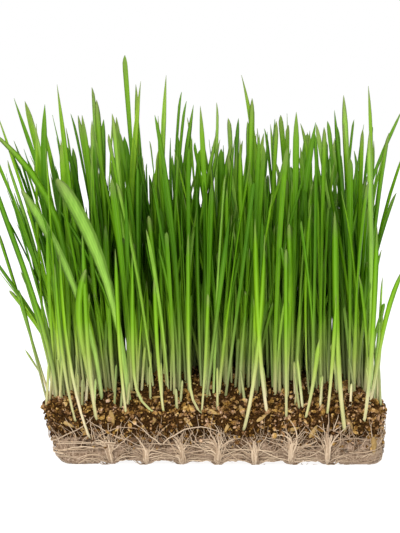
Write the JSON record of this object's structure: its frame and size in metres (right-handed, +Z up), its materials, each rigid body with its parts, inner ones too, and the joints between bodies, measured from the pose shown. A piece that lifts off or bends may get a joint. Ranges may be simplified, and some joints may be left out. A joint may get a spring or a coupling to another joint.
{
  "type": "tray-grown oat grass slab",
  "caption": "Rectangular slab of young oat grass, root-bound in crumbly growing medium, as lifted from its growing tray, with upright blades and a felt of roots.",
  "frame": {"origin": "under the middle of the slab's foot, on the flat tip of the middle root bundle that it stands on", "axes": "+Z up along the grass, +X to the right along the slab's long side, -Y to the pictured front"},
  "size_m": [0.2963, 0.1659, 0.2803],
  "materials": {
    "roots": "matted fibres",
    "soil": "damp crumbs",
    "grass": "soft satin blade"
  },
  "bodies": {
    "root": {"root_mat": "roots", "growing_medium": "soil", "grass_tuft_01": "grass", "grass_tuft_02": "grass", "grass_tuft_03": "grass", "grass_tuft_04": "grass", "grass_tuft_05": "grass", "grass_tuft_06": "grass", "grass_tuft_07": "grass", "grass_tuft_08": "grass", "grass_tuft_09": "grass", "grass_tuft_10": "grass", "grass_tuft_11": "grass", "grass_tuft_12": "grass", "grass_tuft_13": "grass", "grass_tuft_14": "grass", "grass_tuft_15": "grass", "grass_tuft_16": "grass", "grass_tuft_17": "grass", "grass_tuft_18": "grass", "grass_tuft_19": "grass", "grass_tuft_20": "grass", "grass_tuft_21": "grass", "grass_tuft_22": "grass", "grass_tuft_23": "grass", "grass_tuft_24": "grass", "grass_tuft_25": "grass", "grass_tuft_26": "grass", "grass_tuft_27": "grass", "grass_tuft_28": "grass", "grass_tuft_29": "grass", "grass_tuft_30": "grass", "grass_tuft_31": "grass", "grass_tuft_32": "grass", "grass_tuft_33": "grass", "grass_tuft_34": "grass", "grass_tuft_35": "grass", "grass_tuft_36": "grass"}
  },
  "joints": []
}
